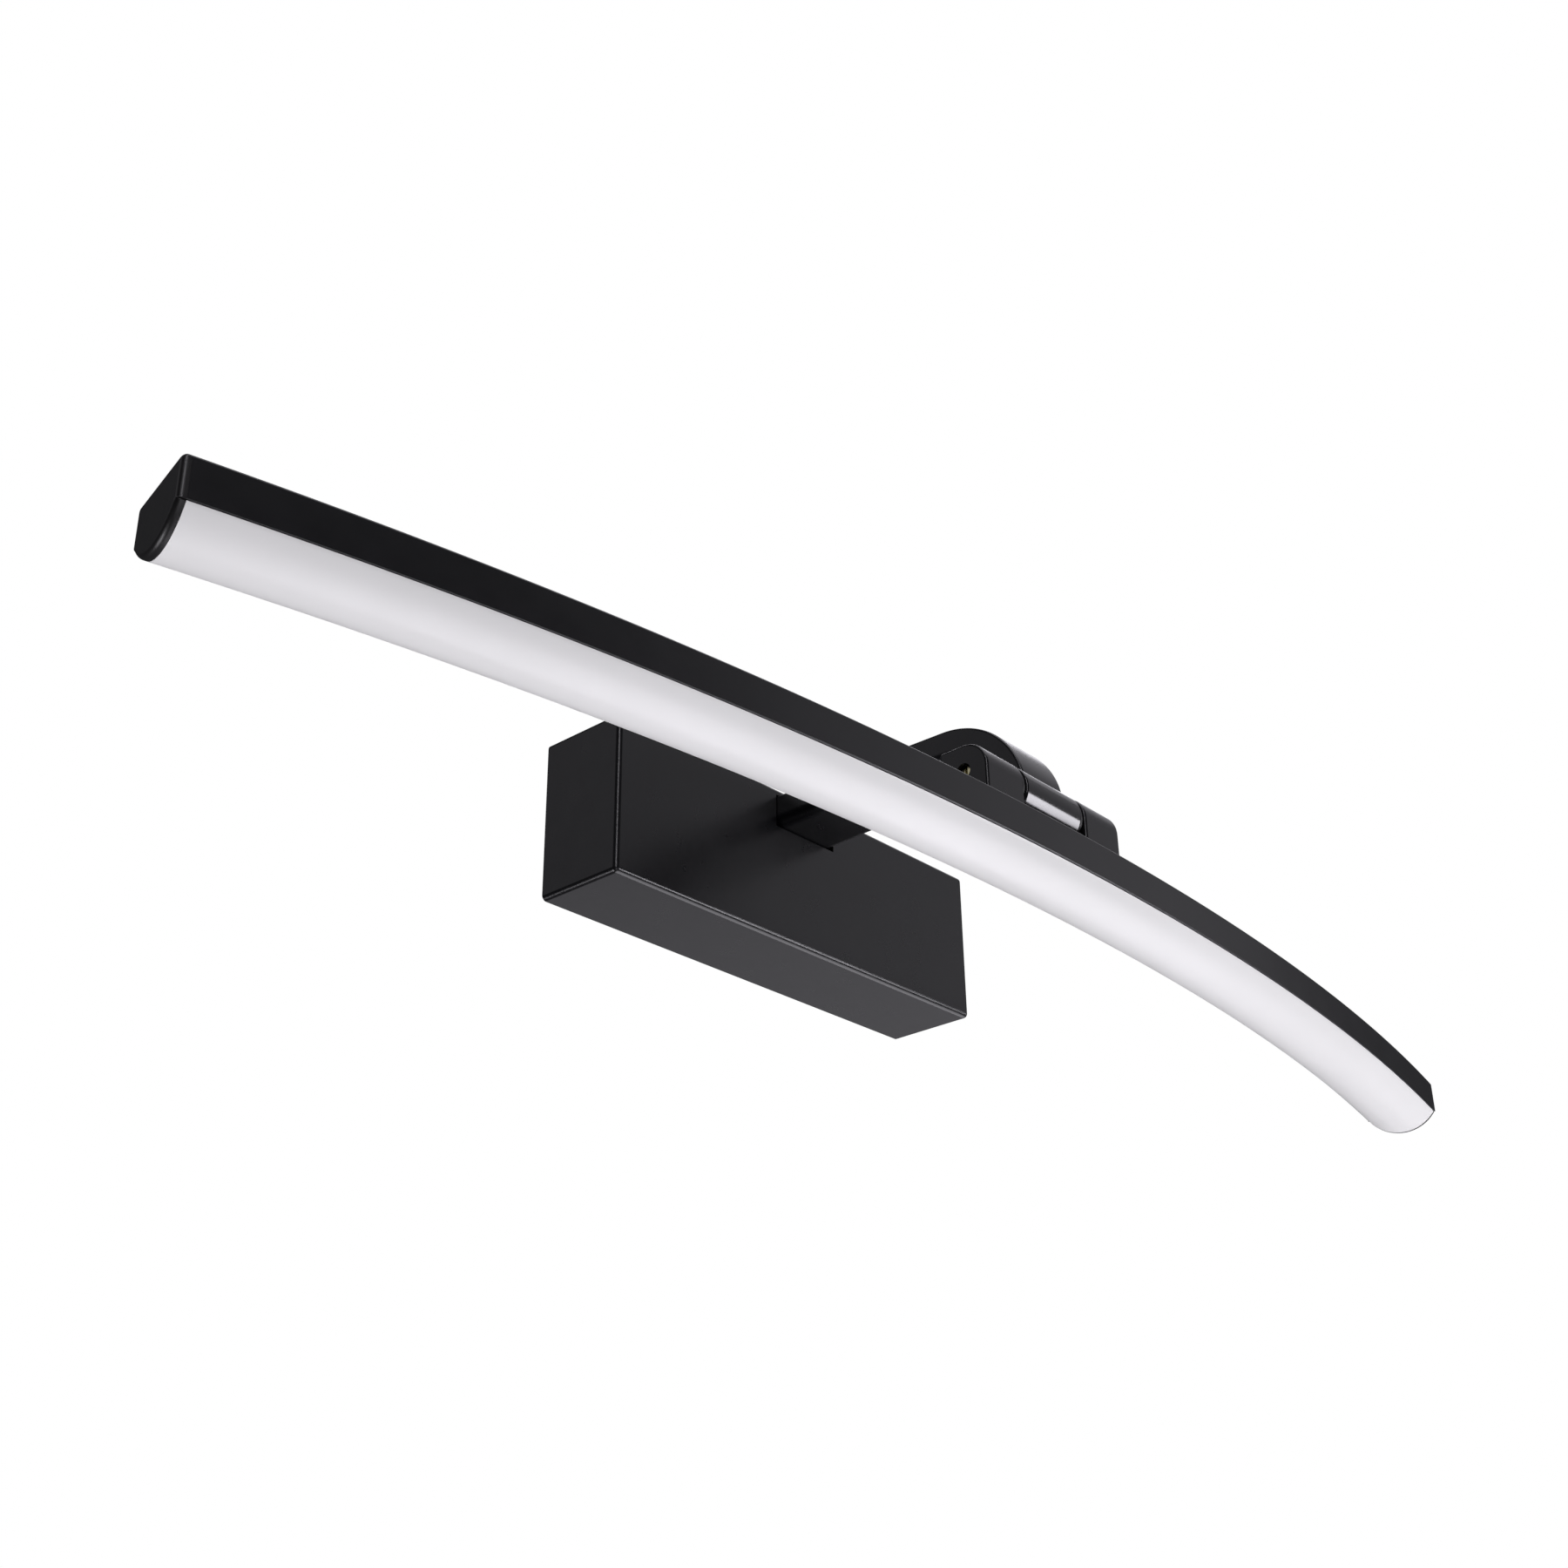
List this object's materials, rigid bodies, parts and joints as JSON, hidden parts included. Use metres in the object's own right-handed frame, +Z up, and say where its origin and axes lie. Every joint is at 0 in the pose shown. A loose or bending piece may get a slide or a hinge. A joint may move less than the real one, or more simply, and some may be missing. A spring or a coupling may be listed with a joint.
{
  "type": "picture light",
  "caption": "Wall-mounted picture light with a box base, a bent flat arm, a friction hinge and a long curved light bar with an opal diffuser.",
  "frame": {"origin": "centre of the base's wall face, on the wall plate's back", "axes": "+X to the right as seen from the room, along the light bar; -Y out of the wall into the room; +Z up"},
  "size_m": [0.5334, 0.1298, 0.0623],
  "materials": {
    "black_powder": "satin black powder coat on steel",
    "bar_black": "satin black powder coat on an aluminium profile",
    "barrel_black": "glossy black",
    "cap_black": "black moulded plastic",
    "opal": "satin opal acrylic",
    "screw_black": "black oxide",
    "zinc_plate": "zinc plated sheet",
    "bright_steel": "bright plated",
    "yellow_zinc": "yellow zinc plated",
    "terminal_brass": "plain",
    "grommet_rubber": "matte",
    "washer_nylon": "black nylon",
    "white_nylon": "white nylon",
    "driver_white": "white plastic case",
    "lead_brown": "brown insulation",
    "lead_blue": "blue insulation",
    "lead_black": "black insulation",
    "board_white": "white solder mask on an aluminium board",
    "tape_grey": "thermal tape",
    "led_phosphor": "yellow phosphor"
  },
  "bodies": {
    "base": {"base_cover": "black_powder", "wall_plate": "zinc_plate", "cable_grommet": "grommet_rubber", "cover_screw_left": "screw_black", "cover_screw_right": "screw_black", "driver_case": "driver_white", "driver_screw_left": "bright_steel", "driver_screw_right": "bright_steel", "terminal_block": "white_nylon", "clamp_screw_live": "terminal_brass", "clamp_screw_neutral": "terminal_brass", "earth_screw": "bright_steel", "earth_washer": "bright_steel", "mains_lead_live": "lead_brown", "mains_lead_neutral": "lead_blue", "output_lead": "lead_black", "arm_flange": "zinc_plate", "weld_stud_left": "bright_steel", "weld_stud_right": "bright_steel", "flange_nut_left": "bright_steel", "flange_nut_right": "bright_steel", "arm": "black_powder", "hinge_barrel": "barrel_black", "friction_washer_left": "washer_nylon", "friction_washer_right": "washer_nylon"},
    "head": {"clevis_bracket": "black_powder", "hinge_bolt": "yellow_zinc", "spring_washer": "bright_steel", "hinge_nut": "bright_steel", "bracket_screw_left": "bright_steel", "bracket_screw_right": "bright_steel", "lamp_channel": "bar_black", "diffuser": "opal", "end_cap_left": "cap_black", "end_cap_right": "cap_black", "led_board": "board_white", "thermal_tape": "tape_grey", "lead_grommet": "grommet_rubber", "head_lead": "lead_black", "led_package_01": "led_phosphor", "led_package_02": "led_phosphor", "led_package_03": "led_phosphor", "led_package_04": "led_phosphor", "led_package_05": "led_phosphor", "led_package_06": "led_phosphor", "led_package_07": "led_phosphor", "led_package_08": "led_phosphor", "led_package_09": "led_phosphor", "led_package_10": "led_phosphor", "led_package_11": "led_phosphor", "led_package_12": "led_phosphor", "led_package_13": "led_phosphor", "led_package_14": "led_phosphor", "led_package_15": "led_phosphor", "led_package_16": "led_phosphor", "led_package_17": "led_phosphor", "led_package_18": "led_phosphor"}
  },
  "joints": [
    {"name": "head_tilt", "type": "hinge", "parent": "base", "child": "head", "pos_m": [0, -0.1145, -0.006], "axis": [1, 0, 0], "range_deg": [-90, 90]}
  ]
}
